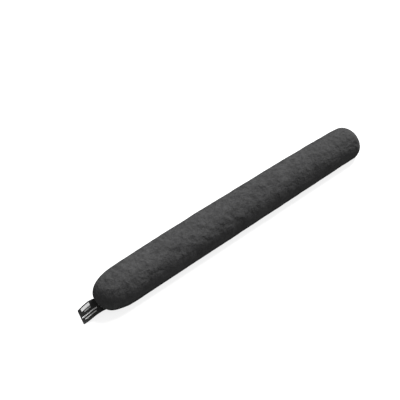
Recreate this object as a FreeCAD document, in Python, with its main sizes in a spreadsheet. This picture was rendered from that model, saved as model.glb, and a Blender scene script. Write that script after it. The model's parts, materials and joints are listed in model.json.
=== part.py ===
import FreeCAD, Part
import math
import os

import Sketcher

# Keyboard wrist rest: a fabric tube filled with small loose beads, slumped flat on the desk.
#
# Millimetres. The origin is the centre of the flat base, on the desk. +X runs along the rest
# to its plain end, +Y points away from the user, +Z is up. The label hangs out of the seam
# at the -X end.
#
# Outside to inside: an upper and a lower fabric panel joined by a turned seam with a needle
# and a bobbin thread, a liner bag of two panels with its own thread, and the bead fill.

SIZES = [
    ("length", 398.2, "cushion, tip to tip"),
    ("label_end_diameter", 47.8, "round section near the label end"),
    ("plain_end_diameter", 45.5, "round section near the plain end"),
    ("axis_height", 14.9, "centre of the round section above the desk"),
    ("base_edge_radius", 6.0, "roll of the fabric from the flat base into the side"),
    ("label_shoulder_start", 37.3, "label end: where the side begins to taper, from the tip"),
    ("label_shoulder_radius", 65.0, "label end: long gentle shoulder"),
    ("plain_shoulder_start", 14.2, "plain end: where the side begins to taper, from the tip"),
    ("plain_shoulder_radius", 13.3, "plain end: short full shoulder"),
    ("cover_thickness", 0.9, "brushed knit"),
    ("liner_thickness", 0.5, "inner bag"),
    ("layer_gap", 0.2, "between one layer and the next"),
    ("seam_height", 8.0, "plane of the cover's seam above the desk"),
    ("allowance_width", 6.0, "seam allowance turned inwards"),
    ("stitch_line_inset", 1.4, "from the outside of the cover to the seam's threads"),
    ("thread_size", 0.4, "sewing thread"),
    ("closing_height", 1.6, "closing stitches above the seam plane"),
    ("closing_length", 2.6, "one closing stitch"),
    ("closing_pitch", 4.0, "from one closing stitch to the next"),
    ("closing_width", 0.5, "closing thread"),
    ("closing_proud", 0.3, "closing thread above the fabric"),
    ("label_width", 20.5, "woven strip, edge to edge"),
    ("label_ply", 0.35, "woven strip's own thickness"),
    ("label_ply_gap", 0.1, "between the two plies of the folded strip"),
    ("label_run", 19.2, "from the bending line to the fold, along the desk"),
    ("label_desk_gap", 0.05, "under the folded end"),
    ("label_skew", 9.0, "degrees that the strip points towards the back"),
    ("label_shift", 0.6, "bending line's centre, towards the back"),
    ("label_standoff", 1.4, "bending line outside the cushion's tip"),
    ("tail_clearance", 0.3, "between the bending strip and its sewn-in end"),
    ("tail_reach", 9.0, "from the bending line into the seam"),
    ("tail_slack", 0.05, "around the sewn-in end"),
    ("cutter_margin", 20.0, "how far a cutting solid passes the cushion"),
]
CLOSING_STITCHES = 8

doc = FreeCAD.newDocument("WristRest")
sheet = doc.addObject("Spreadsheet::Sheet", "Sizes")
for row, (alias, value, note) in enumerate(SIZES, start=1):
    sheet.set("A%d" % row, alias)
    sheet.set("B%d" % row, str(value))
    sheet.setAlias("B%d" % row, alias)
    sheet.set("C%d" % row, note)
doc.recompute()


def size(name):
    """A driving dimension as a plain number."""
    return float(getattr(sheet, name))


def number(expression):
    """The value of an expression over the sheet, as a plain number."""
    return float(sheet.evalExpression(expression))


def origin_plane(body, role):
    """One of the body's own origin planes, such as XZ_Plane."""
    return next(item for item in body.Origin.OriginFeatures if item.Role == role)


def side_sketch(body, name):
    """An empty sketch on the body's XZ plane."""
    sketch = body.newObject("Sketcher::SketchObject", name)
    sketch.AttachmentSupport = [(origin_plane(body, "XZ_Plane"), "")]
    sketch.MapMode = "FlatFace"
    return sketch


def bind(sketch, name, kind, references, expression):
    """Adds one dimension to a sketch, named and driven by an expression over the sheet."""
    index = sketch.addConstraint(Sketcher.Constraint(kind, *references, number(expression)))
    sketch.renameConstraint(index, name)
    sketch.setExpression("Constraints." + name, expression)


def point(x, z):
    return FreeCAD.Vector(x, z, 0)


def arc(centre, radius, start, end):
    """An arc from angle start to angle end, in radians."""
    circle = Part.Circle(centre, FreeCAD.Vector(0, 0, 1), radius)
    return Part.ArcOfCircle(circle, start, end)


# ---- the cushion's closed form ----------------------------------------------------------------

ORIGIN_POINT = (-1, 1)
AXIS_LINE = -1
START, END, CENTRE = 1, 2, 3


def end_guess(sign, end, inset):
    """First guess of an end's two arcs: shoulder centre, cap centre and radii, touching point."""
    half = size("length") / 2
    start = size(end + "_shoulder_start")
    shoulder = size(end + "_shoulder_radius")
    radius = size(end + "_end_diameter") / 2
    cap = (2 * shoulder * radius - radius ** 2 - start ** 2) / (2 * (shoulder - start))
    shoulder_centre = point(sign * (half - start), radius - shoulder)
    cap_centre = point(sign * (half - cap), 0)
    outward = (cap_centre - shoulder_centre) * (1 / (shoulder - cap))
    touch = math.atan2(outward.y, outward.x)
    return shoulder_centre, shoulder - inset, cap_centre, cap - inset, touch


def profile(body, inset):
    """Half the outline, above the axis: cap, shoulder, tapering side, shoulder, cap, axis."""
    gap = number(inset)
    sketch = side_sketch(body, body.Name + "_profile")
    right_shoulder, right_r, right_cap, right_cap_r, right_touch = end_guess(1, "plain", gap)
    left_shoulder, left_r, left_cap, left_cap_r, left_touch = end_guess(-1, "label", gap)
    half = size("length") / 2 - gap
    top = math.pi / 2
    sketch.addGeometry(arc(right_cap, right_cap_r, 0, right_touch), False)
    sketch.addGeometry(arc(right_shoulder, right_r, right_touch, top), False)
    side_start = right_shoulder + point(0, right_r)
    side_end = left_shoulder + point(0, left_r)
    sketch.addGeometry(Part.LineSegment(side_start, side_end), False)
    sketch.addGeometry(arc(left_shoulder, left_r, top, left_touch), False)
    sketch.addGeometry(arc(left_cap, left_cap_r, left_touch, math.pi), False)
    sketch.addGeometry(Part.LineSegment(point(-half, 0), point(half, 0)), False)
    right_cap_arc, right_arc, side, left_arc, left_cap_arc, axis = range(6)

    outline = [right_cap_arc, right_arc, side, left_arc, left_cap_arc]
    for first, second in zip(outline, outline[1:]):
        sketch.addConstraint(Sketcher.Constraint("Tangent", first, END, second, START))
    sketch.addConstraint(Sketcher.Constraint("Coincident", left_cap_arc, END, axis, START))
    sketch.addConstraint(Sketcher.Constraint("Coincident", axis, END, right_cap_arc, START))
    for item, place in ((axis, START), (axis, END), (right_cap_arc, CENTRE), (left_cap_arc, CENTRE)):
        sketch.addConstraint(Sketcher.Constraint("PointOnObject", item, place, AXIS_LINE))

    inner_half = "Sizes.length / 2 - (%s)" % inset
    bind(sketch, "plain_tip", "DistanceX", (*ORIGIN_POINT, axis, END), inner_half)
    bind(sketch, "label_tip", "DistanceX", (axis, START, *ORIGIN_POINT), inner_half)
    bind(sketch, "plain_shoulder_x", "DistanceX", (*ORIGIN_POINT, right_arc, CENTRE),
         "Sizes.length / 2 - Sizes.plain_shoulder_start")
    bind(sketch, "label_shoulder_x", "DistanceX", (left_arc, CENTRE, *ORIGIN_POINT),
         "Sizes.length / 2 - Sizes.label_shoulder_start")
    bind(sketch, "plain_shoulder_z", "DistanceY", (*ORIGIN_POINT, right_arc, CENTRE),
         "Sizes.plain_end_diameter / 2 - Sizes.plain_shoulder_radius")
    bind(sketch, "label_shoulder_z", "DistanceY", (left_arc, CENTRE, *ORIGIN_POINT),
         "Sizes.label_shoulder_radius - Sizes.label_end_diameter / 2")
    bind(sketch, "plain_shoulder_r", "Radius", (right_arc,),
         "Sizes.plain_shoulder_radius - (%s)" % inset)
    bind(sketch, "label_shoulder_r", "Radius", (left_arc,),
         "Sizes.label_shoulder_radius - (%s)" % inset)
    return sketch


def rectangle(sketch, left, right, bottom, top):
    """A rectangle whose four sides are driven by expressions, each signed from the origin."""
    corners = [
        point(number(left), number(bottom)),
        point(number(right), number(bottom)),
        point(number(right), number(top)),
        point(number(left), number(top)),
    ]
    for first, second in zip(corners, corners[1:] + corners[:1]):
        sketch.addGeometry(Part.LineSegment(first, second), False)
    for side in range(4):
        sketch.addConstraint(Sketcher.Constraint("Coincident", side, END, (side + 1) % 4, START))
        direction = "Vertical" if side % 2 else "Horizontal"
        sketch.addConstraint(Sketcher.Constraint(direction, side))
    low_corner, high_corner = (0, START), (2, START)
    bind(sketch, "left", "DistanceX", (*ORIGIN_POINT, *low_corner), left)
    bind(sketch, "bottom", "DistanceY", (*ORIGIN_POINT, *low_corner), bottom)
    bind(sketch, "right", "DistanceX", (*ORIGIN_POINT, *high_corner), right)
    bind(sketch, "top", "DistanceY", (*ORIGIN_POINT, *high_corner), top)


def edges_at_height(shape, height):
    """Names of the edges that lie in the horizontal plane at a height."""
    names = []
    for index, edge in enumerate(shape.Edges, start=1):
        box = edge.BoundBox
        if abs(box.ZMin - height) < 1e-3 and abs(box.ZMax - height) < 1e-3:
            names.append("Edge%d" % index)
    return names


def loaf(name, inset, flat_base=True):
    """The cushion's form, inset all round: turned about its long axis, then cut flat below."""
    body = doc.addObject("PartDesign::Body", name)
    body.setExpression(".Placement.Base.z", "Sizes.axis_height")
    sketch = profile(body, inset)
    turned = body.newObject("PartDesign::Revolution", name + "_turned")
    turned.Profile = sketch
    turned.ReferenceAxis = (sketch, ["H_Axis"])
    turned.Angle = 360
    body.Tip = turned
    doc.recompute()
    if not flat_base:
        return body

    base_cut = side_sketch(body, name + "_base_cut")
    reach = "Sizes.length / 2 + Sizes.cutter_margin"
    cut_top = "(%s) - Sizes.axis_height" % inset
    rectangle(base_cut, "-(%s)" % reach, reach, "-Sizes.label_end_diameter", cut_top)
    flat = body.newObject("PartDesign::Pocket", name + "_flat")
    flat.Profile = base_cut
    flat.SideType = "Symmetric"
    flat.setExpression("Length", "2 * Sizes.label_end_diameter")
    body.Tip = flat
    doc.recompute()
    assert flat.Shape.Volume < 0.95 * turned.Shape.Volume, "the base cut removed nothing"

    rolled = body.newObject("PartDesign::Fillet", name + "_rolled_edge")
    rolled.Base = (flat, edges_at_height(flat.Shape, number(cut_top)))
    rolled.setExpression("Radius", "Sizes.base_edge_radius - (%s)" % inset)
    body.Tip = rolled
    doc.recompute()
    return body


# ---- cutting solids and booleans --------------------------------------------------------------

def slab(name, low, high):
    """A box over the whole plan, between two heights given as expressions."""
    box = doc.addObject("Part::Box", name)
    box.setExpression("Length", "Sizes.length + 2 * Sizes.cutter_margin")
    box.setExpression("Width", "2 * Sizes.label_end_diameter")
    box.setExpression("Height", "(%s) - (%s)" % (high, low))
    box.setExpression(".Placement.Base.x", "-Sizes.length / 2 - Sizes.cutter_margin")
    box.setExpression(".Placement.Base.y", "-Sizes.label_end_diameter")
    box.setExpression(".Placement.Base.z", low)
    return box


def band(name, half_height):
    """A slab centred on the seam plane."""
    return slab(name, "Sizes.seam_height - (%s)" % half_height,
                "Sizes.seam_height + (%s)" % half_height)


def cut(name, base, tool):
    result = doc.addObject("Part::Cut", name)
    result.Base = base
    result.Tool = tool
    return result


def common(name, base, tool):
    result = doc.addObject("Part::Common", name)
    result.Base = base
    result.Tool = tool
    return result


UNDER_DESK = "-Sizes.cutter_margin"
OVER_TOP = "2 * Sizes.label_end_diameter"

# ---- the label: a folded strip that bends at the seam ------------------------------------------

LABEL_RADIUS = "(Sizes.label_ply + Sizes.label_ply_gap / 2)"


def place_at_bending_line(body):
    """Puts a body's origin on the line where the strip bends, turned by the strip's skew."""
    body.setExpression(".Placement.Base.x", "-Sizes.length / 2 - Sizes.label_standoff")
    body.setExpression(".Placement.Base.y", "Sizes.label_shift")
    body.setExpression(".Placement.Base.z", "Sizes.seam_height")
    body.setExpression(".Placement.Rotation.Angle", "-Sizes.label_skew")


def across_width(body, sketch, name, width):
    """Pads a side sketch to both sides, over the strip's width."""
    pad = body.newObject("PartDesign::Pad", name)
    pad.Profile = sketch
    pad.SideType = "Symmetric"
    pad.setExpression("Length", width)
    body.Tip = pad
    doc.recompute()


def pin_centre(sketch, name, item, place):
    """Puts an arc's centre at a place (x, z), given as expressions, or at the origin if None."""
    if place is None:
        sketch.addConstraint(Sketcher.Constraint("Coincident", item, CENTRE, *ORIGIN_POINT))
        return
    bind(sketch, name + "_x", "DistanceX", (*ORIGIN_POINT, item, CENTRE), place[0])
    bind(sketch, name + "_z", "DistanceY", (*ORIGIN_POINT, item, CENTRE), place[1])


def slot(sketch, start, end, radius):
    """A round-ended slot between two centres (x, z), given as expressions, or None: the origin."""
    first_centre = point(number(start[0]), number(start[1])) if start else point(0, 0)
    second_centre = point(number(end[0]), number(end[1]))
    along = second_centre - first_centre
    heading = math.atan2(along.y, along.x)
    side = point(-math.sin(heading), math.cos(heading)) * number(radius)
    quarter = math.pi / 2
    sketch.addGeometry(arc(first_centre, number(radius), heading + quarter,
                           heading + 3 * quarter), False)
    sketch.addGeometry(Part.LineSegment(first_centre - side, second_centre - side), False)
    sketch.addGeometry(arc(second_centre, number(radius), heading - quarter,
                           heading + quarter), False)
    sketch.addGeometry(Part.LineSegment(second_centre + side, first_centre + side), False)
    first_arc, lower_line, second_arc, upper_line = range(4)
    loop = [first_arc, lower_line, second_arc, upper_line]
    for item, following in zip(loop, loop[1:] + loop[:1]):
        sketch.addConstraint(Sketcher.Constraint("Tangent", item, END, following, START))
    bind(sketch, "end_radius", "Radius", (first_arc,), radius)
    pin_centre(sketch, "start", first_arc, start)
    pin_centre(sketch, "end", second_arc, end)


def label():
    """The visible strip: two plies, folded at the free end that rests on the desk."""
    body = doc.addObject("PartDesign::Body", "label")
    place_at_bending_line(body)
    sketch = side_sketch(body, "label_side")
    drop = "(Sizes.seam_height - Sizes.label_desk_gap - %s)" % LABEL_RADIUS
    fold = ("-Sizes.label_run", "-%s" % drop)
    slot(sketch, None, fold, LABEL_RADIUS)
    across_width(body, sketch, "label_strip", "Sizes.label_width")

    between = side_sketch(body, "label_between_plies")
    near_root = ("-Sizes.label_run / 20", "-%s / 20" % drop)
    slot(between, near_root, fold, "Sizes.label_ply_gap / 2")
    opening = body.newObject("PartDesign::Pocket", "label_ply_opening")
    opening.Profile = between
    opening.SideType = "Symmetric"
    opening.setExpression("Length", "2 * Sizes.label_width")
    body.Tip = opening
    doc.recompute()
    return body


def tail_block(name, slack):
    """The sewn-in end of the strip, both plies pressed together, grown by a slack all round."""
    body = doc.addObject("PartDesign::Body", name)
    place_at_bending_line(body)
    sketch = side_sketch(body, name + "_side")
    start = "%s + Sizes.tail_clearance - (%s)" % (LABEL_RADIUS, slack)
    end = "Sizes.tail_reach + (%s)" % slack
    half = "(Sizes.label_ply + (%s))" % slack
    rectangle(sketch, start, end, "-" + half, half)
    across_width(body, sketch, name + "_strip", "Sizes.label_width + 2 * (%s)" % slack)
    return body


# ---- the covers, their seam and its threads ---------------------------------------------------

OUTSIDE = "0"
COVER_INSIDE = "Sizes.cover_thickness"
ALLOWANCE_EDGE = "Sizes.cover_thickness + Sizes.allowance_width"
THREAD_INNER_INSET = "Sizes.stitch_line_inset + Sizes.thread_size"
COVER_SEAM_HALF = "Sizes.cover_thickness"
THREADED_SEAM_HALF = "Sizes.cover_thickness + Sizes.thread_size"

outside = loaf("cover_outside", OUTSIDE)
cover_inside = loaf("cover_inside", COVER_INSIDE)
allowance_edge = loaf("allowance_edge", ALLOWANCE_EDGE, flat_base=False)
tail_slot = tail_block("tail_slot", "Sizes.tail_slack")


def cover_panel(name, panel_low, panel_high, room_low, room_high):
    """One fabric panel with its allowance turned in along the seam plane."""
    panel = common(name + "_block", outside, slab(name + "_extent", panel_low, panel_high))
    room = common(name + "_room", cover_inside, slab(name + "_room_extent", room_low, room_high))
    shell = cut(name + "_shell", panel, room)
    middle = common(name + "_middle", allowance_edge, band(name + "_seam_band", COVER_SEAM_HALF))
    trimmed = cut(name + "_trimmed", shell, middle)
    return cut(name, trimmed, tail_slot)


def thread_ring(name, low, high):
    """One continuous thread round the seam, lying against an allowance."""
    outer = loaf(name + "_outer", "Sizes.stitch_line_inset", flat_base=False)
    inner = loaf(name + "_inner", THREAD_INNER_INSET, flat_base=False)
    path = cut(name + "_path", outer, inner)
    return common(name, path, slab(name + "_layer", low, high))


top_cover = cover_panel(
    "top_cover",
    "Sizes.seam_height", OVER_TOP,
    "Sizes.seam_height + Sizes.cover_thickness", OVER_TOP,
)
base_cover = cover_panel(
    "base_cover",
    UNDER_DESK, "Sizes.seam_height",
    UNDER_DESK, "Sizes.seam_height - Sizes.cover_thickness",
)
cover_needle_thread = thread_ring(
    "cover_needle_thread",
    "Sizes.seam_height + " + COVER_SEAM_HALF,
    "Sizes.seam_height + " + THREADED_SEAM_HALF,
)
cover_bobbin_thread = thread_ring(
    "cover_bobbin_thread",
    "Sizes.seam_height - (%s)" % THREADED_SEAM_HALF,
    "Sizes.seam_height - " + COVER_SEAM_HALF,
)

# ---- the liner bag and the beads, both drawn in round the covers' seam ------------------------

LINER_OUTSIDE = COVER_INSIDE + " + Sizes.layer_gap"
LINER_INSIDE = LINER_OUTSIDE + " + Sizes.liner_thickness"
FILL_OUTSIDE = LINER_INSIDE + " + Sizes.layer_gap"


def drawn_in(name, inset, past_seam):
    """A loaf with a channel all round that clears the covers' seam by past_seam."""
    whole = loaf(name + "_whole", inset)
    core = loaf(name + "_core", ALLOWANCE_EDGE + " + " + past_seam, flat_base=False)
    layer = band(name + "_channel_band", THREADED_SEAM_HALF + " + " + past_seam)
    channel = cut(name + "_channel", layer, core)
    return cut(name, whole, channel)


liner_outer = drawn_in("liner_outer", LINER_OUTSIDE, "Sizes.layer_gap")
liner_inner = drawn_in("liner_inner", LINER_INSIDE, "Sizes.layer_gap + Sizes.liner_thickness")
bead_fill = drawn_in("bead_fill", FILL_OUTSIDE, "2 * Sizes.layer_gap + Sizes.liner_thickness")
liner_skin = cut("liner_skin", liner_outer, liner_inner)
THREAD_HALF = "Sizes.thread_size / 2"
liner_top = common("liner_top", liner_skin, slab(
    "liner_top_extent", "Sizes.seam_height + " + THREAD_HALF, OVER_TOP))
liner_base = common("liner_base", liner_skin, slab(
    "liner_base_extent", UNDER_DESK, "Sizes.seam_height - " + THREAD_HALF))
liner_thread = common("liner_thread", liner_skin, band("liner_thread_layer", THREAD_HALF))

# ---- the stitches that close the filling opening, over the label's root ------------------------


def closing_window(index):
    """A wedge of space round the label end, one stitch long."""
    cap_centre = end_guess(-1, "label", 0)[2]
    turn = math.degrees(size("closing_pitch") / end_guess(-1, "label", 0)[3])
    window = doc.addObject("Part::Box", "closing_window_%d" % (index + 1))
    window.setExpression("Length", "Sizes.label_end_diameter")
    window.setExpression("Width", "Sizes.closing_length")
    window.setExpression("Height", "Sizes.closing_width")
    angle = 180 + turn * (index - (CLOSING_STITCHES - 1) / 2)
    low = size("seam_height") + size("closing_height")
    swing = FreeCAD.Placement(FreeCAD.Vector(cap_centre.x, 0, low),
                              FreeCAD.Rotation(FreeCAD.Vector(0, 0, 1), angle))
    centred = FreeCAD.Placement(FreeCAD.Vector(0, -size("closing_length") / 2, 0),
                                FreeCAD.Rotation())
    window.Placement = swing.multiply(centred)
    return window


proud = loaf("closing_proud_surface", "-Sizes.closing_proud", flat_base=False)
closing_skin = cut("closing_skin", proud, outside)
closing_windows = doc.addObject("Part::Compound", "closing_windows")
closing_windows.Links = [closing_window(index) for index in range(CLOSING_STITCHES)]
closing_stitches = common("closing_stitches", closing_skin, closing_windows)

label_strip = label()
label_tail = tail_block("label_tail", "0")

# ---- check and write ---------------------------------------------------------------------------

SUB_PARTS = [
    top_cover, base_cover, cover_needle_thread, cover_bobbin_thread, closing_stitches,
    liner_top, liner_base, liner_thread, bead_fill, label_tail, label_strip,
]

doc.recompute()
for item in doc.Objects:
    if "Invalid" in item.State or "Error" in item.State:
        raise RuntimeError("%s failed: %s" % (item.Name, item.State))
for item in SUB_PARTS:
    if item.Shape.isNull() or not item.Shape.isValid() or not item.Shape.Solids:
        raise RuntimeError("%s has no valid shape" % item.Label)

os.makedirs("parts", exist_ok=True)
for item in SUB_PARTS:
    item.Shape.exportStep("parts/%s.step" % item.Label)
    box = item.Shape.optimalBoundingBox(True, False)
    print("%-20s %2d solids %10.1f mm3  x %.2f..%.2f  y %.2f..%.2f  z %.2f..%.2f" % (
        item.Label, len(item.Shape.Solids), item.Shape.Volume,
        box.XMin, box.XMax, box.YMin, box.YMax, box.ZMin, box.ZMax))
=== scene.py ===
import json
import math

import bmesh
import bpy
from mathutils import Matrix, Vector, noise
from mathutils.bvhtree import BVHTree


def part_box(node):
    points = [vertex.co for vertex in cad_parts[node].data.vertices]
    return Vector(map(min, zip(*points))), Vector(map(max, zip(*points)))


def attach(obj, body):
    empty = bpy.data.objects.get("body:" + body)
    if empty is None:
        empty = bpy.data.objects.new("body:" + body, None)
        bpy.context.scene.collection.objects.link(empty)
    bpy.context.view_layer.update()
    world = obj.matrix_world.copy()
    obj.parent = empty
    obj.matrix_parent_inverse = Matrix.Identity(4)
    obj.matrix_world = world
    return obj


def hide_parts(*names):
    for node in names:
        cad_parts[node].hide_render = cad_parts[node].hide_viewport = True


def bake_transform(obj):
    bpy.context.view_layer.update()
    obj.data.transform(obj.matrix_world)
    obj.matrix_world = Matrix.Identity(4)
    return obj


# Wrist rest: a soft bead-filled tube of charcoal brushed knit, flat where it lies on the desk,
# with a folded satin label at one end. Metres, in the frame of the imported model: +X along the
# rest to its plain end, +Y to the keyboard, +Z up, the origin on the desk.

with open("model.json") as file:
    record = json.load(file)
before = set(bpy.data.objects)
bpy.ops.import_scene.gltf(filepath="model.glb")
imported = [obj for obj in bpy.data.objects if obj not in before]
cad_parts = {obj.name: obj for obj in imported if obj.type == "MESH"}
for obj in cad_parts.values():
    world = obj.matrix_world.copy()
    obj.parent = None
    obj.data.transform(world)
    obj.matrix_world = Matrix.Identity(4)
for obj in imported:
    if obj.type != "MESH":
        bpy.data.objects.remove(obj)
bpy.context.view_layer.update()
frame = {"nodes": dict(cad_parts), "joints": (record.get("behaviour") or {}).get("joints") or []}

MM = 0.001
UP = Vector((0, 0, 1))

# ---- what the frame gives ----------------------------------------------------------------------

TOP_LOW, TOP_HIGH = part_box("top_cover")
SEAM_Z = TOP_LOW.z
ROUND_RADIUS = TOP_HIGH.y
AXIS_Z = TOP_HIGH.z - ROUND_RADIUS
LABEL_TIP = TOP_LOW.x
PLAIN_TIP = TOP_HIGH.x

HINGE = frame["joints"][0]
PIVOT = Vector(HINGE["pos_m"])
HINGE_AXIS = Vector(HINGE["axis"]).normalized()
OUTWARD = UP.cross(HINGE_AXIS)


def extent_along(node, direction, start):
    """How far a node reaches each way along a direction, from a starting point."""
    reach = [(vertex.co - start).dot(direction) for vertex in frame["nodes"][node].data.vertices]
    return min(reach), max(reach)


LABEL_RUN = extent_along("label", OUTWARD, PIVOT)[1]
LABEL_HALF_WIDTH = extent_along("label", HINGE_AXIS, PIVOT)[1]
TAIL_REACH = -extent_along("label_tail", OUTWARD, PIVOT)[0]

# ---- the cushion's form ------------------------------------------------------------------------

LABEL_TAPER = 37.3 * MM        # the side tapers towards the tip over this length
PLAIN_TAPER = 14.2 * MM
BASE_ROLL = 2.6 * MM           # how far the flat base takes to turn up into the side
CELLS_WIDE = 10                # cells along each side of the form's four-sided ends
CELLS_LONG = 92                # rings of cells between the two ends
PROFILE_STEPS = 90
RAY_START = 200 * MM           # rays at the model start this far out, well outside the end
NEAR_LEVEL = 0.05              # directions that fall less than this never reach the desk


def skin_tree(*nodes):
    """A tree for casting rays at CAD nodes."""
    points, faces = [], []
    for node in nodes:
        mesh = frame["nodes"][node].data
        first = len(points)
        points += [vertex.co.copy() for vertex in mesh.vertices]
        faces += [[first + index for index in face.vertices] for face in mesh.polygons]
    return BVHTree.FromPolygons(points, faces)


def end_profile(tree, tip, taper):
    """The outline over one end, from its tip to where the taper starts: (length, x, radius)."""
    inwards = 1 if tip < 0 else -1
    centre = Vector((tip + inwards * taper, 0, AXIS_Z))
    rows, last = [], None
    for step in range(PROFILE_STEPS + 1):
        angle = math.pi / 2 * step / PROFILE_STEPS
        ray = Vector((-inwards * math.cos(angle), 0, math.sin(angle)))
        hit = tree.ray_cast(centre + ray * RAY_START, -ray)[0]
        length = rows[-1][0] + (hit - last).length if rows else 0.0
        rows.append((length, hit.x, max(hit.z - AXIS_Z, 0.0)))
        last = hit
    return rows


def at_share(rows, share):
    """The point (x, radius) at a share of a profile's length."""
    target = share * rows[-1][0]
    for before, after in zip(rows, rows[1:]):
        if after[0] >= target:
            part = (target - before[0]) / max(after[0] - before[0], 1e-12)
            return before[1] + part * (after[1] - before[1]), before[2] + part * (after[2] - before[2])
    return rows[-1][1], rows[-1][2]


def soft_min(first, second, width):
    """The smaller of two lengths, with the change from one to the other rounded off."""
    near = max(width - abs(first - second), 0.0) / width
    return min(first, second) - near * near * width / 4


def section_point(x, radius, turn):
    """A point of the round section at a turn from straight up, kept above the desk."""
    fall = -math.cos(turn)
    if fall > NEAR_LEVEL:
        radius = soft_min(radius, AXIS_Z / fall, BASE_ROLL)
    return Vector((x, radius * math.sin(turn), AXIS_Z + radius * math.cos(turn)))


def even(share):
    """Spreads a share from -1 to 1 so that its angles on a round form come out even."""
    return math.tan(share * math.pi / 4)


def loaf_point(cell, cells, label_end, plain_end):
    """Where a point of the box-shaped lattice lies on the cushion's form."""
    i, j, k = cell
    half = CELLS_WIDE // 2
    across = even(2 * j / CELLS_WIDE - 1)
    above = even(2 * k / CELLS_WIDE - 1)
    turn = math.atan2(across, above)
    if half <= i <= cells - half:
        share = (i - half) / (cells - 2 * half)
        start, stop = label_end[-1], plain_end[-1]
        return section_point(start[1] + share * (stop[1] - start[1]),
                             start[2] + share * (stop[2] - start[2]), turn)
    rows = label_end if i < half else plain_end
    depth = even(1 - min(i, cells - i) / half)
    lean = math.atan2(math.hypot(across, above), depth)
    x, radius = at_share(rows, lean / (math.pi / 2))
    return section_point(x, radius, turn)


def loaf_mesh(name):
    """The cushion's closed form as even quads, with no poles at the tips."""
    tree = skin_tree("top_cover")
    label_end = end_profile(tree, LABEL_TIP, LABEL_TAPER)
    plain_end = end_profile(tree, PLAIN_TIP, PLAIN_TAPER)
    cells = CELLS_LONG + CELLS_WIDE
    mesh_builder = bmesh.new()
    made = {}

    def corner(i, j, k):
        if (i, j, k) not in made:
            place = loaf_point((i, j, k), cells, label_end, plain_end)
            made[(i, j, k)] = mesh_builder.verts.new(place)
        return made[(i, j, k)]

    for j in range(CELLS_WIDE):
        for k in range(CELLS_WIDE):
            for i in (0, cells):
                mesh_builder.faces.new([corner(i, j, k), corner(i, j, k + 1),
                                        corner(i, j + 1, k + 1), corner(i, j + 1, k)])
    for i in range(cells):
        for step in range(CELLS_WIDE):
            for edge in (0, CELLS_WIDE):
                mesh_builder.faces.new([corner(i, edge, step), corner(i + 1, edge, step),
                                        corner(i + 1, edge, step + 1), corner(i, edge, step + 1)])
                mesh_builder.faces.new([corner(i, step, edge), corner(i, step + 1, edge),
                                        corner(i + 1, step + 1, edge), corner(i + 1, step, edge)])
    bmesh.ops.recalc_face_normals(mesh_builder, faces=mesh_builder.faces)
    mesh = bpy.data.meshes.new(name)
    mesh_builder.to_mesh(mesh)
    mesh_builder.free()
    return mesh


def new_object(name, mesh):
    piece = bpy.data.objects.new(name, mesh)
    bpy.context.scene.collection.objects.link(piece)
    return piece


def applied(piece):
    """The piece's mesh with its modifiers applied."""
    graph = bpy.context.evaluated_depsgraph_get()
    return bpy.data.meshes.new_from_object(piece.evaluated_get(graph))


def subdivided(mesh, levels):
    """A smoother copy of a mesh."""
    holder = new_object("holder", mesh)
    smoother = holder.modifiers.new("smoother", "SUBSURF")
    smoother.levels = levels
    result = applied(holder)
    bpy.data.objects.remove(holder)
    return result


CROWN = 2.1 * MM               # how far the filling stands up along the middle of the rest
CROWN_CENTRE = 12 * MM
CROWN_HALF_LENGTH = 178 * MM
CROWN_SIDE = Vector((0, 0.78, 0.63))
CROWN_ENDING = 2.5             # higher keeps the crown level for longer before it runs out
CROWN_SPREAD = 1.5             # higher keeps it closer to its own side
PLAIN_SWELL = 1.3 * MM         # the plain end stands out past the model's
LABEL_SWELL = 1.0 * MM         # and so does the far corner of the label end
LABEL_SWELL_SIDE = Vector((-0.85, 0.5, 0.15))
PINCH_DEPTH = 1.8 * MM         # the label's seam draws the label end in and flattens it
PINCH_HALF_WIDTH = 11 * MM
PINCH_HEIGHT = 7 * MM
PINCH_LENGTH = 20 * MM
LUMP_HEIGHT = 0.3 * MM         # soft lumps of beads
LUMP_SPAN = 21 * MM
PEBBLE_HEIGHT = 0.15 * MM      # and smaller ones on them
PEBBLE_SPAN = 6 * MM
GROOVE_DEPTH = 0.6 * MM        # the seam draws the covers in
GROOVE_HALF_WIDTH = 0.9 * MM
PUCKER_HEIGHT = 0.3 * MM       # and gathers them beside it
PUCKER_SPAN = 5.0 * MM
PUCKER_REACH = 4.0 * MM
DESK_CLEARANCE = 0.05 * MM


def fill_offset(place, normal):
    """How the filling pushes the form out: a crown along the middle, on the far shoulder, and
    a little at both ends."""
    along = min(abs(place.x - CROWN_CENTRE) / CROWN_HALF_LENGTH, 1.0)
    facing = 0.5 + 0.5 * normal.dot(CROWN_SIDE)
    crown = CROWN * (1 - along ** CROWN_ENDING) * facing ** CROWN_SPREAD
    if place.x > 0:
        return crown + PLAIN_SWELL * max(normal.x, 0)
    return crown + LABEL_SWELL * max(normal.dot(LABEL_SWELL_SIDE), 0) ** 3 - label_pinch(place)


def label_pinch(place):
    """How far the label's seam draws the cushion in at a place."""
    across = (place - PIVOT).dot(HINGE_AXIS) / PINCH_HALF_WIDTH
    along = (place - PIVOT).dot(OUTWARD) / PINCH_LENGTH
    above = (place.z - SEAM_Z) / PINCH_HEIGHT
    return PINCH_DEPTH * math.exp(-across ** 4 - along ** 2 - above ** 2)


def surface_offset(place, _normal):
    """How far the fabric stands out or in at a place: lumps of beads, seam groove, puckers."""
    lump = LUMP_HEIGHT * noise.noise(place / LUMP_SPAN)
    pebble = PEBBLE_HEIGHT * noise.noise(place / PEBBLE_SPAN)
    from_seam = place.z - SEAM_Z
    groove = -GROOVE_DEPTH * math.exp(-(from_seam / GROOVE_HALF_WIDTH) ** 2)
    plan = Vector((place.x, place.y, 0)) / PUCKER_SPAN
    pucker = PUCKER_HEIGHT * noise.noise(plan) * math.exp(-abs(from_seam) / PUCKER_REACH)
    return lump + pebble + groove + pucker


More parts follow.
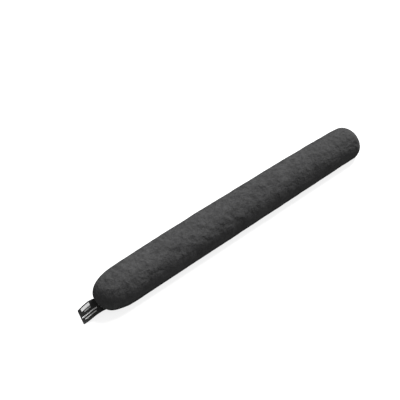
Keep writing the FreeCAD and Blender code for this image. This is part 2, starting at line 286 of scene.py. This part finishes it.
SIM_FRAMES = 20
SIM_PRESSURE = 4000.0          # high, because the cells are small and the fabric is already taut
SIM_STRETCH = 4.0
SIM_BENDING = 0.02
SIM_QUALITY = 6
SIM_SMOOTHING = 6              # rounds of averaging over the moves
SIM_SHRINK = 0.9 * MM          # the form starts this much smaller, and the pressure fills it
SIM_CAP_OUT = 0.5 * MM         # how far from the form the simulation may leave the fabric
SIM_CAP_IN = 0.25 * MM
SIM_HELD = 1.0 * MM            # points this near the desk stay where they are
SEAM_HOLD = 3.0 * MM           # the seam resists the filling over this height
SEAM_GRIP = 0.35               # and holds this strongly at its middle


def filled_out(mesh):
    """The form blown up by a cloth simulation from a slightly smaller start, each move capped."""
    start = mesh.copy()
    outwards = [vertex.normal.copy() for vertex in mesh.vertices]
    for vertex, normal in zip(start.vertices, outwards):
        if vertex.co.z > SIM_HELD:
            vertex.co -= normal * SIM_SHRINK
    blown = inflated(start)
    moves = []
    for vertex, normal, after in zip(mesh.vertices, outwards, blown.vertices):
        reach = (after.co - vertex.co).dot(normal)
        cap = SIM_CAP_OUT if reach > 0 else SIM_CAP_IN
        moves.append(cap * math.tanh(reach / cap))
    for vertex, normal, move in zip(mesh.vertices, outwards, evened(mesh, moves)):
        vertex.co += normal * move
    return mesh


def inflated(start):
    """The mesh after the cloth simulation under pressure, held at the desk and the seam."""
    scene = bpy.context.scene
    scene.use_gravity = False
    pad = new_object("pad", start)
    held = pad.vertex_groups.new(name="held")
    for vertex in start.vertices:
        by_seam = SEAM_GRIP * math.exp(-((vertex.co.z - SEAM_Z) / SEAM_HOLD) ** 2)
        on_desk = 1.0 if vertex.co.z <= SIM_HELD else 0.0
        held.add([vertex.index], max(on_desk, by_seam), "REPLACE")
    cloth = pad.modifiers.new("cloth", "CLOTH")
    cloth.settings.vertex_group_mass = held.name
    cloth.settings.quality = SIM_QUALITY
    cloth.settings.tension_stiffness = SIM_STRETCH
    cloth.settings.compression_stiffness = SIM_STRETCH
    cloth.settings.shear_stiffness = SIM_STRETCH
    cloth.settings.bending_stiffness = SIM_BENDING
    cloth.settings.use_pressure = True
    cloth.settings.uniform_pressure_force = SIM_PRESSURE
    cloth.settings.effector_weights.gravity = 0
    cloth.point_cache.frame_start = 1
    cloth.point_cache.frame_end = SIM_FRAMES
    for frame_number in range(1, SIM_FRAMES + 1):
        scene.frame_set(frame_number)
    blown = applied(pad)
    bpy.data.objects.remove(pad)
    scene.frame_set(1)
    return blown


def evened(mesh, values):
    """One value for each point, averaged with its neighbours' values."""
    for _ in range(SIM_SMOOTHING):
        sums, counts = [0.0] * len(values), [0] * len(values)
        for edge in mesh.edges:
            first, second = edge.vertices
            sums[first] += values[second]
            sums[second] += values[first]
            counts[first] += 1
            counts[second] += 1
        values = [(value + total / count) / 2 for value, total, count in zip(values, sums, counts)]
    return values


def move_out(mesh, offset):
    """Moves every point along its normal by offset(place, normal) and keeps it off the desk."""
    normals = [vertex.normal.copy() for vertex in mesh.vertices]
    for vertex, normal in zip(mesh.vertices, normals):
        vertex.co += normal * offset(vertex.co, normal)
        vertex.co.z = max(vertex.co.z, DESK_CLEARANCE)


SNAP = 0.25 * MM               # points this near the seam's level are put on it
ALLOWANCE = 3.0 * MM           # how far each panel's edge turns in at the seam
FABRIC_THICKNESS = 0.7 * MM
LINER_DEPTH = 1.6 * MM         # the inner bag's outside, in from the covers' outside
LINER_THICKNESS = 0.4 * MM
BEADS_DEPTH = 2.2 * MM


def panel(name, whole, side):
    """The part of the cushion above (1) or below (-1) the seam, its edge turned inwards."""
    builder = bmesh.new()
    builder.from_mesh(whole)
    for vertex in builder.verts:
        if abs(vertex.co.z - SEAM_Z) < SNAP:
            vertex.co.z = SEAM_Z
    bmesh.ops.bisect_plane(builder, geom=builder.verts[:] + builder.edges[:] + builder.faces[:],
                           dist=1e-6, plane_co=(0, 0, SEAM_Z), plane_no=(0, 0, side),
                           clear_inner=True)
    builder.normal_update()
    rim = [edge for edge in builder.edges if edge.is_boundary]
    inner = bmesh.ops.extrude_edge_only(builder, edges=rim)
    for item in inner["geom"]:
        if isinstance(item, bmesh.types.BMVert):
            flat = Vector((item.normal.x, item.normal.y, 0))
            item.co -= flat.normalized() * ALLOWANCE if flat.length > 0 else flat
    mesh = bpy.data.meshes.new(name)
    bmesh.ops.recalc_face_normals(builder, faces=builder.faces)
    builder.to_mesh(mesh)
    builder.free()
    for face in mesh.polygons:
        face.use_smooth = True
    return new_object(name, mesh)


def thickened(piece, thickness):
    """Gives a panel its fabric's thickness, inwards from its outer face."""
    wall = piece.modifiers.new("fabric thickness", "SOLIDIFY")
    wall.thickness = thickness
    wall.offset = -1


def layer(name, form, depth):
    """The cushion's form moved inwards, for what lies inside the covers."""
    mesh = subdivided(form, 1)
    mesh.name = name
    normals = [vertex.normal.copy() for vertex in mesh.vertices]
    for vertex, normal in zip(mesh.vertices, normals):
        vertex.co -= normal * depth
    for face in mesh.polygons:
        face.use_smooth = True
    return mesh


def stuffed(piece, node):
    """Puts a padded piece on the cushion's body and hides the model's node that it stands for."""
    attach(piece, "cushion")
    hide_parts(node)
    return piece


def covers(form):
    """The two fabric panels of the cover."""
    fine = subdivided(form, 2)
    move_out(fine, surface_offset)
    top = panel("cover_top_fabric", fine, 1)
    base = panel("cover_base_fabric", fine, -1)
    for piece in (top, base):
        thickened(piece, FABRIC_THICKNESS)
    return stuffed(top, "top_cover"), stuffed(base, "base_cover")


def inner_bag(form):
    """The liner's two panels and the beads in it."""
    bag = layer("bag_form", form, LINER_DEPTH)
    top = panel("liner_top_cloth", bag, 1)
    base = panel("liner_base_cloth", bag, -1)
    for piece in (top, base):
        thickened(piece, LINER_THICKNESS)
    filling = new_object("bead_filling", layer("bead_filling", form, BEADS_DEPTH))
    return (stuffed(top, "liner_top"), stuffed(base, "liner_base"),
            stuffed(filling, "bead_fill"))


# ---- the label ---------------------------------------------------------------------------------

LABEL_THICKNESS = 0.3 * MM
LABEL_SEAM_START = 3.4 * MM     # where the strip leaves the seam, behind the bending line
PLY_SPACING = 0.42 * MM         # between the middles of the two plies
ARCH_HEIGHT = 3.2 * MM          # of the far edge, halfway out
ARCH_LEAN = 1.3                 # higher keeps the arch closer to the far edge
SETTLE = 0.5 * MM               # the strip leaves the seam level and lands level
LABEL_ROWS = 44
LABEL_COLUMNS = 22
FOLD_STEPS = 6


def label_height(run, across):
    """The upper ply's height at a distance outwards and a share across, -1 near to 1 far."""
    if run <= -LABEL_SEAM_START:
        return SEAM_Z
    share = (run + LABEL_SEAM_START) / (LABEL_RUN + LABEL_SEAM_START)
    rest = LABEL_THICKNESS + PLY_SPACING + DESK_CLEARANCE
    chord = SEAM_Z + (rest - SEAM_Z) * share
    settle = SETTLE * math.sin(2 * math.pi * share)
    arch = ARCH_HEIGHT * 4 * share * (1 - share) * (0.5 + 0.5 * across) ** ARCH_LEAN
    return chord + settle + arch


def label_path():
    """Points along the folded strip: (run, ply), from the tail up over the fold and back."""
    start = -TAIL_REACH
    fold_run = LABEL_RUN - PLY_SPACING / 2 - LABEL_THICKNESS / 2
    upper = [(start + (fold_run - start) * step / LABEL_ROWS, 0.0) for step in range(LABEL_ROWS + 1)]
    fold = []
    for step in range(1, FOLD_STEPS):
        angle = math.pi * step / FOLD_STEPS
        fold.append((fold_run + PLY_SPACING / 2 * math.sin(angle), (1 - math.cos(angle)) / 2))
    lower = [(run, 1.0) for run, _ in reversed(upper)]
    return upper + fold + lower


def label_point(run, ply, across):
    """A point of the strip in the frame: ply 0 is the upper one and 1 the lower."""
    spacing = PLY_SPACING if run > -LABEL_SEAM_START else LABEL_THICKNESS
    height = label_height(run, across) - ply * spacing + (0 if run > -LABEL_SEAM_START else spacing / 2)
    place = PIVOT + OUTWARD * run + HINGE_AXIS * (across * LABEL_HALF_WIDTH)
    place.z = max(height, LABEL_THICKNESS / 2 + DESK_CLEARANCE)
    return place


def strip_mesh(path):
    """The strip along its path, with its flat size as its UVs, and the length at each row."""
    builder = bmesh.new()
    grid = []
    for run, ply in path:
        grid.append([
            builder.verts.new(label_point(run, ply, 2 * column / LABEL_COLUMNS - 1))
            for column in range(LABEL_COLUMNS + 1)
        ])
    lengths = [0.0]
    for before, after in zip(grid, grid[1:]):
        middle = LABEL_COLUMNS // 2
        lengths.append(lengths[-1] + (after[middle].co - before[middle].co).length)
    layer = builder.loops.layers.uv.new("strip")
    for row in range(len(grid) - 1):
        for column in range(LABEL_COLUMNS):
            corners = [(row, column), (row + 1, column), (row + 1, column + 1), (row, column + 1)]
            face = builder.faces.new([grid[r][c] for r, c in corners])
            face.smooth = True
            for loop, (r, c) in zip(face.loops, corners):
                loop[layer].uv = (lengths[r], c / LABEL_COLUMNS * 2 * LABEL_HALF_WIDTH)
    mesh = bpy.data.meshes.new("label_strip")
    builder.to_mesh(mesh)
    builder.free()
    return mesh, lengths


def label():
    """The folded satin strip, from inside the seam to its fold on the desk."""
    path = label_path()
    mesh, lengths = strip_mesh(path)
    holder = new_object("holder", mesh)
    wall = holder.modifiers.new("ribbon thickness", "SOLIDIFY")
    wall.thickness = LABEL_THICKNESS
    wall.offset = 0
    strip = new_object("label_strip", applied(holder))
    bpy.data.objects.remove(holder)
    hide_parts("label", "label_tail")
    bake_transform(strip)
    root_row = next(row for row, (run, _) in enumerate(path) if run >= 0)
    return strip, lengths[root_row], lengths[LABEL_ROWS]


# ---- the closing stitches ----------------------------------------------------------------------

STITCH_THREAD = 0.3 * MM        # radius of the thread
STITCH_SINK = 0.9 * MM          # how deep its ends go into the fabric
STITCH_COUNT = 8
STITCH_SHARE = 0.65             # a stitch's length as a share of the pitch
STITCH_SLANT = 0.5 * MM
STITCH_STEPS = 8
STITCH_SIDES = 8


def on_cover(tree, y, z):
    """The point of the top cover's label end at a width and a height, and its outward normal."""
    hit, normal, _, _ = tree.ray_cast(Vector((2 * LABEL_TIP, y, z)), Vector((1, 0, 0)))
    return hit, normal


def thread_tube(builder, points, radius):
    """A round thread through points, closed at both ends."""
    rings = []
    for index, place in enumerate(points):
        ahead = points[min(index + 1, len(points) - 1)] - points[max(index - 1, 0)]
        across = ahead.cross(UP).normalized()
        above = across.cross(ahead).normalized()
        rings.append([
            builder.verts.new(place + radius * (math.cos(turn) * across + math.sin(turn) * above))
            for turn in (2 * math.pi * side / STITCH_SIDES for side in range(STITCH_SIDES))
        ])
    for before, after in zip(rings, rings[1:]):
        for side in range(STITCH_SIDES):
            following = (side + 1) % STITCH_SIDES
            face = builder.faces.new([before[side], before[following], after[following], after[side]])
            face.smooth = True
    builder.faces.new(rings[0])
    builder.faces.new(rings[-1])


def closing_stitches(cover):
    """Hand-sized stitches over the filling opening, each dipping into the fabric at its ends."""
    skin = BVHTree.FromObject(cover, bpy.context.evaluated_depsgraph_get())
    builder = bmesh.new()
    low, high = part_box("closing_stitches")
    pitch = (high.y - low.y) / (STITCH_COUNT - 1 + STITCH_SHARE)
    for stitch in range(STITCH_COUNT):
        points = []
        for step in range(STITCH_STEPS + 1):
            share = step / STITCH_STEPS
            y = low.y + (stitch + share * STITCH_SHARE) * pitch
            z = low.z + STITCH_THREAD + STITCH_SLANT * (share - 0.5)
            hit, normal = on_cover(skin, y, z)
            arch = 1 - (2 * share - 1) ** 4
            depth = STITCH_THREAD * 0.5 * arch - STITCH_SINK * (1 - arch)
            points.append(hit + normal * depth)
        thread_tube(builder, points, STITCH_THREAD)
    bmesh.ops.recalc_face_normals(builder, faces=builder.faces)
    mesh = bpy.data.meshes.new("closing_thread")
    builder.to_mesh(mesh)
    builder.free()
    stitches = new_object("closing_thread", mesh)
    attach(stitches, "cushion")
    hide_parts("closing_stitches")
    return stitches


# ---- materials ---------------------------------------------------------------------------------


def new_material(name):
    material = bpy.data.materials.new(name)
    material.use_nodes = True
    tree = material.node_tree
    shader = next(node for node in tree.nodes if node.type == "BSDF_PRINCIPLED")
    return material, tree, shader


def noise_node(tree, vector, span, detail, distortion=0.0, roughness=0.5):
    """Noise whose largest feature is about span metres wide."""
    node = tree.nodes.new("ShaderNodeTexNoise")
    node.inputs["Scale"].default_value = 1 / span
    node.inputs["Detail"].default_value = detail
    node.inputs["Distortion"].default_value = distortion
    node.inputs["Roughness"].default_value = roughness
    tree.links.new(vector, node.inputs["Vector"])
    return node.outputs["Fac"]


def ramp(tree, value, stops):
    """A colour ramp with (position, colour) stops."""
    node = tree.nodes.new("ShaderNodeValToRGB")
    while len(node.color_ramp.elements) < len(stops):
        node.color_ramp.elements.new(0.5)
    for element, (position, colour) in zip(node.color_ramp.elements, stops):
        element.position = position
        element.color = (*colour, 1)
    tree.links.new(value, node.inputs["Fac"])
    return node.outputs["Color"]


def maths(tree, operation, first, second):
    """One maths node; each operand is a number or a socket."""
    node = tree.nodes.new("ShaderNodeMath")
    node.operation = operation
    for index, operand in enumerate((first, second)):
        if isinstance(operand, (int, float)):
            node.inputs[index].default_value = operand
        else:
            tree.links.new(operand, node.inputs[index])
    return node.outputs[0]


def weighted_sum(tree, terms):
    """The sum of (socket, weight) terms."""
    total = None
    for value, weight in terms:
        term = maths(tree, "MULTIPLY", value, weight)
        total = term if total is None else maths(tree, "ADD", total, term)
    return total


def bump(tree, shader, height, distance):
    node = tree.nodes.new("ShaderNodeBump")
    node.inputs["Distance"].default_value = distance
    node.inputs["Strength"].default_value = 1.0
    tree.links.new(height, node.inputs["Height"])
    tree.links.new(node.outputs["Normal"], shader.inputs["Normal"])


def grey(value):
    """A very slightly cool grey."""
    return (value, value, value * 1.01)


def brushed_knit(name, colour, contrast, nap_height):
    """Suede-like brushed knit: clumped nap in patches and short streaks over a fine pile."""
    material, tree, shader = new_material(name)
    where = tree.nodes.new("ShaderNodeTexCoord").outputs["Object"]
    patches = noise_node(tree, where, 24 * MM, 2)
    rolls = noise_node(tree, where, 15 * MM, 1, distortion=0.3)
    clumps = noise_node(tree, where, 8 * MM, 2, distortion=0.4)
    nap = noise_node(tree, where, 3.0 * MM, 2, distortion=0.4, roughness=0.6)
    pile = noise_node(tree, where, 0.8 * MM, 3, distortion=0.3, roughness=0.7)
    tone = weighted_sum(tree, ((patches, 0.12), (clumps, 0.2), (nap, 0.3), (pile, 0.38)))
    spread = contrast * colour
    shade = ramp(tree, tone, [(0.38, grey(colour - spread)), (0.62, grey(colour + spread))])
    tree.links.new(shade, shader.inputs["Base Color"])
    shader.inputs["Roughness"].default_value = 0.95
    shader.inputs["Specular IOR Level"].default_value = 0.0
    height = weighted_sum(tree, ((rolls, 0.52), (clumps, 0.34), (nap, 0.1), (pile, 0.04)))
    bump(tree, shader, height, nap_height)
    return material


# Plain bars woven into the label: from and to along it (0 free end, 1 root), from and to across
# it (0 far edge, 1 near edge), tone, and the dashes' pitch (0: unbroken).
WOVEN_BARS = (
    (0.19, 0.79, 0.08, 0.27, 0.26, 0.0),
    (0.33, 0.78, 0.33, 0.40, 0.15, 1.1 * MM),
    (0.06, 1.08, 0.57, 0.64, 0.31, 1.6 * MM),
    (0.18, 0.99, 0.75, 0.81, 0.3, 1.3 * MM),
)
DASH_SHARE = 0.72               # of a dash's pitch
SATIN_BLACK = 0.005
SATIN_TWILL = 0.45 * MM         # pitch of the weave's slanting ridges
SATIN_SLANT = 0.6
SATIN_CONTRAST = 0.16


def within(tree, value, low, high):
    """1 where a value lies between two limits, otherwise 0."""
    node = tree.nodes.new("ShaderNodeMath")
    node.operation = "COMPARE"
    tree.links.new(value, node.inputs[0])
    node.inputs[1].default_value = (low + high) / 2
    node.inputs[2].default_value = (high - low) / 2
    return node.outputs[0]


def woven_bars(tree, along, across, root_length, free_length):
    """The bars' tone at a place of the strip, 0 between them."""
    visible = free_length - root_length
    width = 2 * LABEL_HALF_WIDTH
    tone = None
    for start, stop, far, near, light, pitch in WOVEN_BARS:
        bar = maths(tree, "MULTIPLY",
                    within(tree, along, free_length - stop * visible, free_length - start * visible),
                    within(tree, across, (1 - near) * width, (1 - far) * width))
        if pitch:
            phase = maths(tree, "FRACT", maths(tree, "DIVIDE", along, pitch), 0.0)
            bar = maths(tree, "MULTIPLY", bar, within(tree, phase, 0.0, DASH_SHARE))
        bar = maths(tree, "MULTIPLY", bar, light)
        tone = bar if tone is None else maths(tree, "ADD", tone, bar)
    return tone


def woven_satin(name, root_length, free_length):
    """Black satin ribbon with plain light bars woven into the visible side of the upper ply."""
    material, tree, shader = new_material(name)
    strip_map = tree.nodes.new("ShaderNodeUVMap")
    strip_map.uv_map = "strip"
    parts = tree.nodes.new("ShaderNodeSeparateXYZ")
    tree.links.new(strip_map.outputs["UV"], parts.inputs["Vector"])
    along, across = parts.outputs["X"], parts.outputs["Y"]
    tone = woven_bars(tree, along, across, root_length, free_length)
    slant = maths(tree, "ADD", along, maths(tree, "MULTIPLY", across, SATIN_SLANT))
    ridge = maths(tree, "SINE", maths(tree, "MULTIPLY", slant, 2 * math.pi / SATIN_TWILL), 0.0)
    thread_shade = maths(tree, "ADD", 1.0, maths(tree, "MULTIPLY", ridge, SATIN_CONTRAST))
    tone = maths(tree, "MULTIPLY", maths(tree, "ADD", tone, SATIN_BLACK), thread_shade)
    colour = tree.nodes.new("ShaderNodeCombineXYZ")
    for axis in ("X", "Y", "Z"):
        tree.links.new(tone, colour.inputs[axis])
    tree.links.new(colour.outputs["Vector"], shader.inputs["Base Color"])
    shader.inputs["Roughness"].default_value = 0.55
    shader.inputs["Specular IOR Level"].default_value = 0.1
    shader.inputs["Anisotropic"].default_value = 0.4
    bump(tree, shader, ridge, 0.03 * MM)
    return material


THREAD_TWIST = 0.5 * MM
THREAD_SLANT = 0.8


def twisted_thread(name, colour):
    """Sewing thread: fine slanting plies along it."""
    material, tree, shader = new_material(name)
    where = tree.nodes.new("ShaderNodeTexCoord").outputs["Object"]
    parts = tree.nodes.new("ShaderNodeSeparateXYZ")
    tree.links.new(where, parts.inputs["Vector"])
    run = maths(tree, "ADD", parts.outputs["X"], parts.outputs["Y"])
    slant = maths(tree, "ADD", run, maths(tree, "MULTIPLY", parts.outputs["Z"], THREAD_SLANT))
    ply = maths(tree, "SINE", maths(tree, "MULTIPLY", slant, 2 * math.pi / THREAD_TWIST), 0.0)
    share = maths(tree, "ADD", maths(tree, "MULTIPLY", ply, 0.5), 0.5)
    dark = tuple(0.6 * part for part in colour)
    tree.links.new(ramp(tree, share, [(0.0, dark), (1.0, colour)]), shader.inputs["Base Color"])
    shader.inputs["Roughness"].default_value = 0.6
    shader.inputs["Specular IOR Level"].default_value = 0.3
    bump(tree, shader, ply, 0.05 * MM)
    return material


def plain_weave(name, colour, pitch):
    """Thin woven liner cloth: threads over and under at a fixed pitch."""
    material, tree, shader = new_material(name)
    where = tree.nodes.new("ShaderNodeTexCoord").outputs["Object"]
    parts = tree.nodes.new("ShaderNodeSeparateXYZ")
    tree.links.new(where, parts.inputs["Vector"])
    turn = 2 * math.pi / pitch
    warp = maths(tree, "SINE", maths(tree, "MULTIPLY", parts.outputs["X"], turn), 0.0)
    height = maths(tree, "ADD", parts.outputs["Y"], parts.outputs["Z"])
    weft = maths(tree, "SINE", maths(tree, "MULTIPLY", height, turn), 0.0)
    weave = maths(tree, "ADD", maths(tree, "MULTIPLY", maths(tree, "MULTIPLY", warp, weft), 0.5), 0.5)
    dark = tuple(0.8 * part for part in colour)
    tree.links.new(ramp(tree, weave, [(0.0, dark), (1.0, colour)]), shader.inputs["Base Color"])
    shader.inputs["Roughness"].default_value = 0.85
    bump(tree, shader, weave, 0.15 * MM)
    return material


def beads_with_painted_gap_shade(name, colour, bead_size):
    """Loose beads pressed together: rounded cells, each darkening to painted shade at its edge and in
    the gaps.
    """
    material, tree, shader = new_material(name)
    where = tree.nodes.new("ShaderNodeTexCoord").outputs["Object"]
    cells = tree.nodes.new("ShaderNodeTexVoronoi")
    cells.inputs["Scale"].default_value = 1 / bead_size
    tree.links.new(where, cells.inputs["Vector"])
    # painted shade: each bead darkens towards its edge and into the gaps between beads
    dark = tuple(0.35 * part for part in colour)
    shade = ramp(tree, cells.outputs["Distance"], [(0.25, colour), (0.75, dark)])
    tree.links.new(shade, shader.inputs["Base Color"])
    shader.inputs["Roughness"].default_value = 0.35
    dome = maths(tree, "SUBTRACT", 1.0, cells.outputs["Distance"])
    bump(tree, shader, dome, 0.5 * bead_size)
    return material


# ---- assembly ----------------------------------------------------------------------------------


def dress(piece, material):
    piece.data.materials.clear()
    piece.data.materials.append(material)


cushion_form = loaf_mesh("cushion_form")
move_out(cushion_form, fill_offset)
cushion_form = filled_out(cushion_form)
cover_top, cover_base = covers(cushion_form)
liner_top, liner_base, filling = inner_bag(cushion_form)
strip, root_length, free_length = label()
dress(cover_top, brushed_knit("charcoal brushed knit", 0.0187, 0.34, 5.5 * MM))
dress(cover_base, brushed_knit("black base knit", 0.015, 0.25, 3.0 * MM))
dress(strip, woven_satin("black woven satin", root_length, free_length))

thread = twisted_thread("black sewing thread", (0.016, 0.016, 0.016))
liner = plain_weave("off-white liner weave", (0.62, 0.6, 0.56), 0.8 * MM)
liner_thread = twisted_thread("off-white liner thread", (0.65, 0.63, 0.6))
beads = beads_with_painted_gap_shade("white beads", (0.75, 0.75, 0.72), 1.6 * MM)
dress(closing_stitches(cover_top), twisted_thread("grey closing thread", (0.1, 0.1, 0.1)))
dress(liner_top, liner)
dress(liner_base, liner)
dress(filling, beads)
for node, material in (
    ("cover_needle_thread", thread), ("cover_bobbin_thread", thread), ("liner_thread", liner_thread),
):
    dress(frame["nodes"][node], material)

# ---- floor, light and camera -------------------------------------------------------------------

FLOOR_SIZE = 12.0
FLOOR_COLOUR = (0.12, 0.12, 0.12, 1)
FLOOR_GLOW = 0.82
SUN_STRENGTH = 15.9
SUN_ANGLE = math.radians(24)
SUN_DIRECTION = Vector((0.75, 0.25, 0.9))
SKY_STRENGTH = 1.0
CAMERA_AZIMUTH = math.radians(-31.07)
CAMERA_ELEVATION = math.radians(46.7)
CAMERA_ROLL = math.radians(-7.75)
CAMERA_DISTANCE = 834.6 * MM
CAMERA_TARGET = Vector((-11.2 * MM, 58.9 * MM, 0))
CAMERA_LENS = 58.5


def floor():
    mesh = bpy.data.meshes.new("floor")
    half = FLOOR_SIZE / 2
    corners = [(-half, -half, 0), (half, -half, 0), (half, half, 0), (-half, half, 0)]
    mesh.from_pydata(corners, [], [(0, 1, 2, 3)])
    plane = new_object("floor", mesh)
    material, _, shader = new_material("pale floor")
    shader.inputs["Base Color"].default_value = FLOOR_COLOUR
    shader.inputs["Emission Color"].default_value = (1, 1, 1, 1)
    shader.inputs["Emission Strength"].default_value = FLOOR_GLOW
    shader.inputs["Roughness"].default_value = 0.9
    shader.inputs["Specular IOR Level"].default_value = 0.0
    dress(plane, material)


def lights():
    lamp = bpy.data.lights.new("soft key", "SUN")
    lamp.energy = SUN_STRENGTH
    lamp.angle = SUN_ANGLE
    key = bpy.data.objects.new("soft key", lamp)
    key.rotation_mode = "QUATERNION"
    key.rotation_quaternion = SUN_DIRECTION.to_track_quat("Z", "Y")
    bpy.context.scene.collection.objects.link(key)
    world = bpy.data.worlds.new("studio")
    world.use_nodes = True
    background = world.node_tree.nodes["Background"]
    background.inputs["Color"].default_value = (1, 1, 1, 1)
    background.inputs["Strength"].default_value = SKY_STRENGTH
    bpy.context.scene.world = world


def camera():
    data = bpy.data.cameras.new("camera")
    data.lens = CAMERA_LENS
    data.sensor_width = 36
    data.clip_start = 0.01
    eye = bpy.data.objects.new("camera", data)
    bpy.context.scene.collection.objects.link(eye)
    back = Vector((math.sin(CAMERA_AZIMUTH) * math.cos(CAMERA_ELEVATION),
                   -math.cos(CAMERA_AZIMUTH) * math.cos(CAMERA_ELEVATION),
                   math.sin(CAMERA_ELEVATION)))
    turn = back.to_track_quat("Z", "Y").to_matrix() @ Matrix.Rotation(CAMERA_ROLL, 3, "Z")
    eye.matrix_world = Matrix.Translation(CAMERA_TARGET + back * CAMERA_DISTANCE) @ turn.to_4x4()
    bpy.context.scene.camera = eye


floor()
lights()
camera()
bpy.context.scene.view_settings.view_transform = "Standard"
